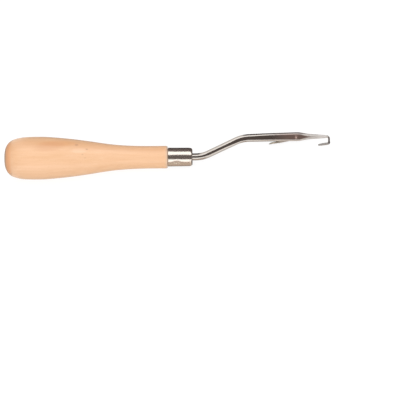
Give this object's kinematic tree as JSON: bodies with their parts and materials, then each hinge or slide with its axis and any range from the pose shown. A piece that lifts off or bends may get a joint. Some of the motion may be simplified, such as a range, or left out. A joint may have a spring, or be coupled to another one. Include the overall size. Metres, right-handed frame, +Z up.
{
  "type": "bent latch hook",
  "caption": "Bent latch hook: turned wooden handle, metal ferrule and cranked steel needle whose hook is closed by a latch swinging on a rivet, for knotting rug yarn.",
  "frame": {"origin": "centre of the bounding box, on the surface the tool lies on", "axes": "+X along the handle towards the hook, +Y towards the side the shank is bent to, +Z up from the surface; the tool lies on its side as it comes to rest on the handle's belly, the handle's front rim and the corner of the hook, nose 4.8 degrees down and the plane of its bends turned up 17.5 degrees"},
  "size_m": [0.166, 0.0226, 0.0224],
  "materials": {
    "handle_wood": "turned pale hardwood, clear satin lacquer",
    "ferrule_plate": "bright nickel plate on drawn sheet",
    "needle_plate": "polished nickel plate on steel",
    "latch_plate": "nickel plate, stamped",
    "rivet_steel": "filed and polished flush"
  },
  "bodies": {
    "tool": {"handle": "handle_wood", "ferrule": "ferrule_plate", "needle": "needle_plate", "hook": "needle_plate", "latch_rivet": "rivet_steel"},
    "latch": {"latch": "latch_plate"}
  },
  "joints": [
    {"name": "latch_swing", "type": "hinge", "parent": "tool", "child": "latch", "pos_m": [0.06563, 0.00837, 0.00298], "axis": [0.0793, -0.3003, 0.9505], "range_deg": [0, 148]}
  ]
}
